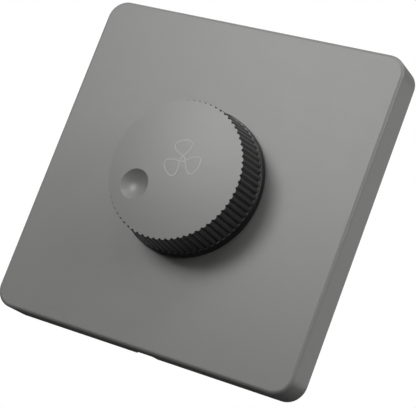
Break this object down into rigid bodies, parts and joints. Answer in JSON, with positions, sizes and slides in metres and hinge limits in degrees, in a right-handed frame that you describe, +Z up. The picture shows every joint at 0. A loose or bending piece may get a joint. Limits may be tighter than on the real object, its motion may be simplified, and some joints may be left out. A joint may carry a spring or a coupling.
{
  "type": "fan speed control switch",
  "caption": "Square wall plate with a knurled rotary knob that switches a ceiling fan on and sets its speed, with a wall-box frame, electronics housing and screw terminals behind.",
  "frame": {"origin": "centre of the plate on the wall surface, where the mounting frame's back lies", "axes": "+X right and +Z up as seen from the front, +Y into the wall along the knob's axis"},
  "size_m": [0.086, 0.0549, 0.086],
  "materials": {
    "plate_grey": "satin",
    "knob_charcoal": "satin",
    "frame_white": "matte",
    "housing_black": "fine texture",
    "board_green": "solder mask",
    "zinc_steel": "zinc plated",
    "brass": "plain",
    "copper": "enamelled",
    "aluminium": "plain",
    "phenolic": "pressed",
    "nylon": "moulded",
    "epoxy_black": "moulded",
    "film_yellow": "moulded",
    "film_red": "dipped",
    "ferrite": "sintered",
    "resistor_tan": "lacquered",
    "diac_blue": "lacquered",
    "fuse_brown": "moulded",
    "block_grey": "moulded"
  },
  "bodies": {
    "base": {"front_panel": "plate_grey", "mounting_frame": "frame_white", "rear_housing": "housing_black", "housing_screws": "zinc_steel", "circuit_board": "board_green", "bushing_plate": "zinc_steel", "bushing_washer": "zinc_steel", "bushing_nut": "brass", "potentiometer_can": "zinc_steel", "resistance_wafer": "phenolic", "potentiometer_pins": "zinc_steel", "switch_case": "phenolic", "switch_pins": "brass", "heat_sink": "aluminium", "triac_body": "epoxy_black", "triac_leadframe": "zinc_steel", "heat_sink_screw": "zinc_steel", "film_capacitor": "film_yellow", "timing_capacitor": "film_red", "choke_core": "ferrite", "choke_winding": "copper", "resistors": "resistor_tan", "diac": "diac_blue", "fuse": "fuse_brown", "terminal_block": "block_grey", "terminal_clamps": "brass", "terminal_screws": "zinc_steel"},
    "knob": {"knob": "knob_charcoal", "knob_clip": "zinc_steel", "shaft": "aluminium", "shaft_ring": "zinc_steel", "rotor": "nylon", "wiper_contact": "brass"}
  },
  "joints": [
    {"name": "knob_turn", "type": "hinge", "parent": "base", "child": "knob", "pos_m": [0, 0, 0], "axis": [0, 1, 0], "range_deg": [0, 250]}
  ]
}
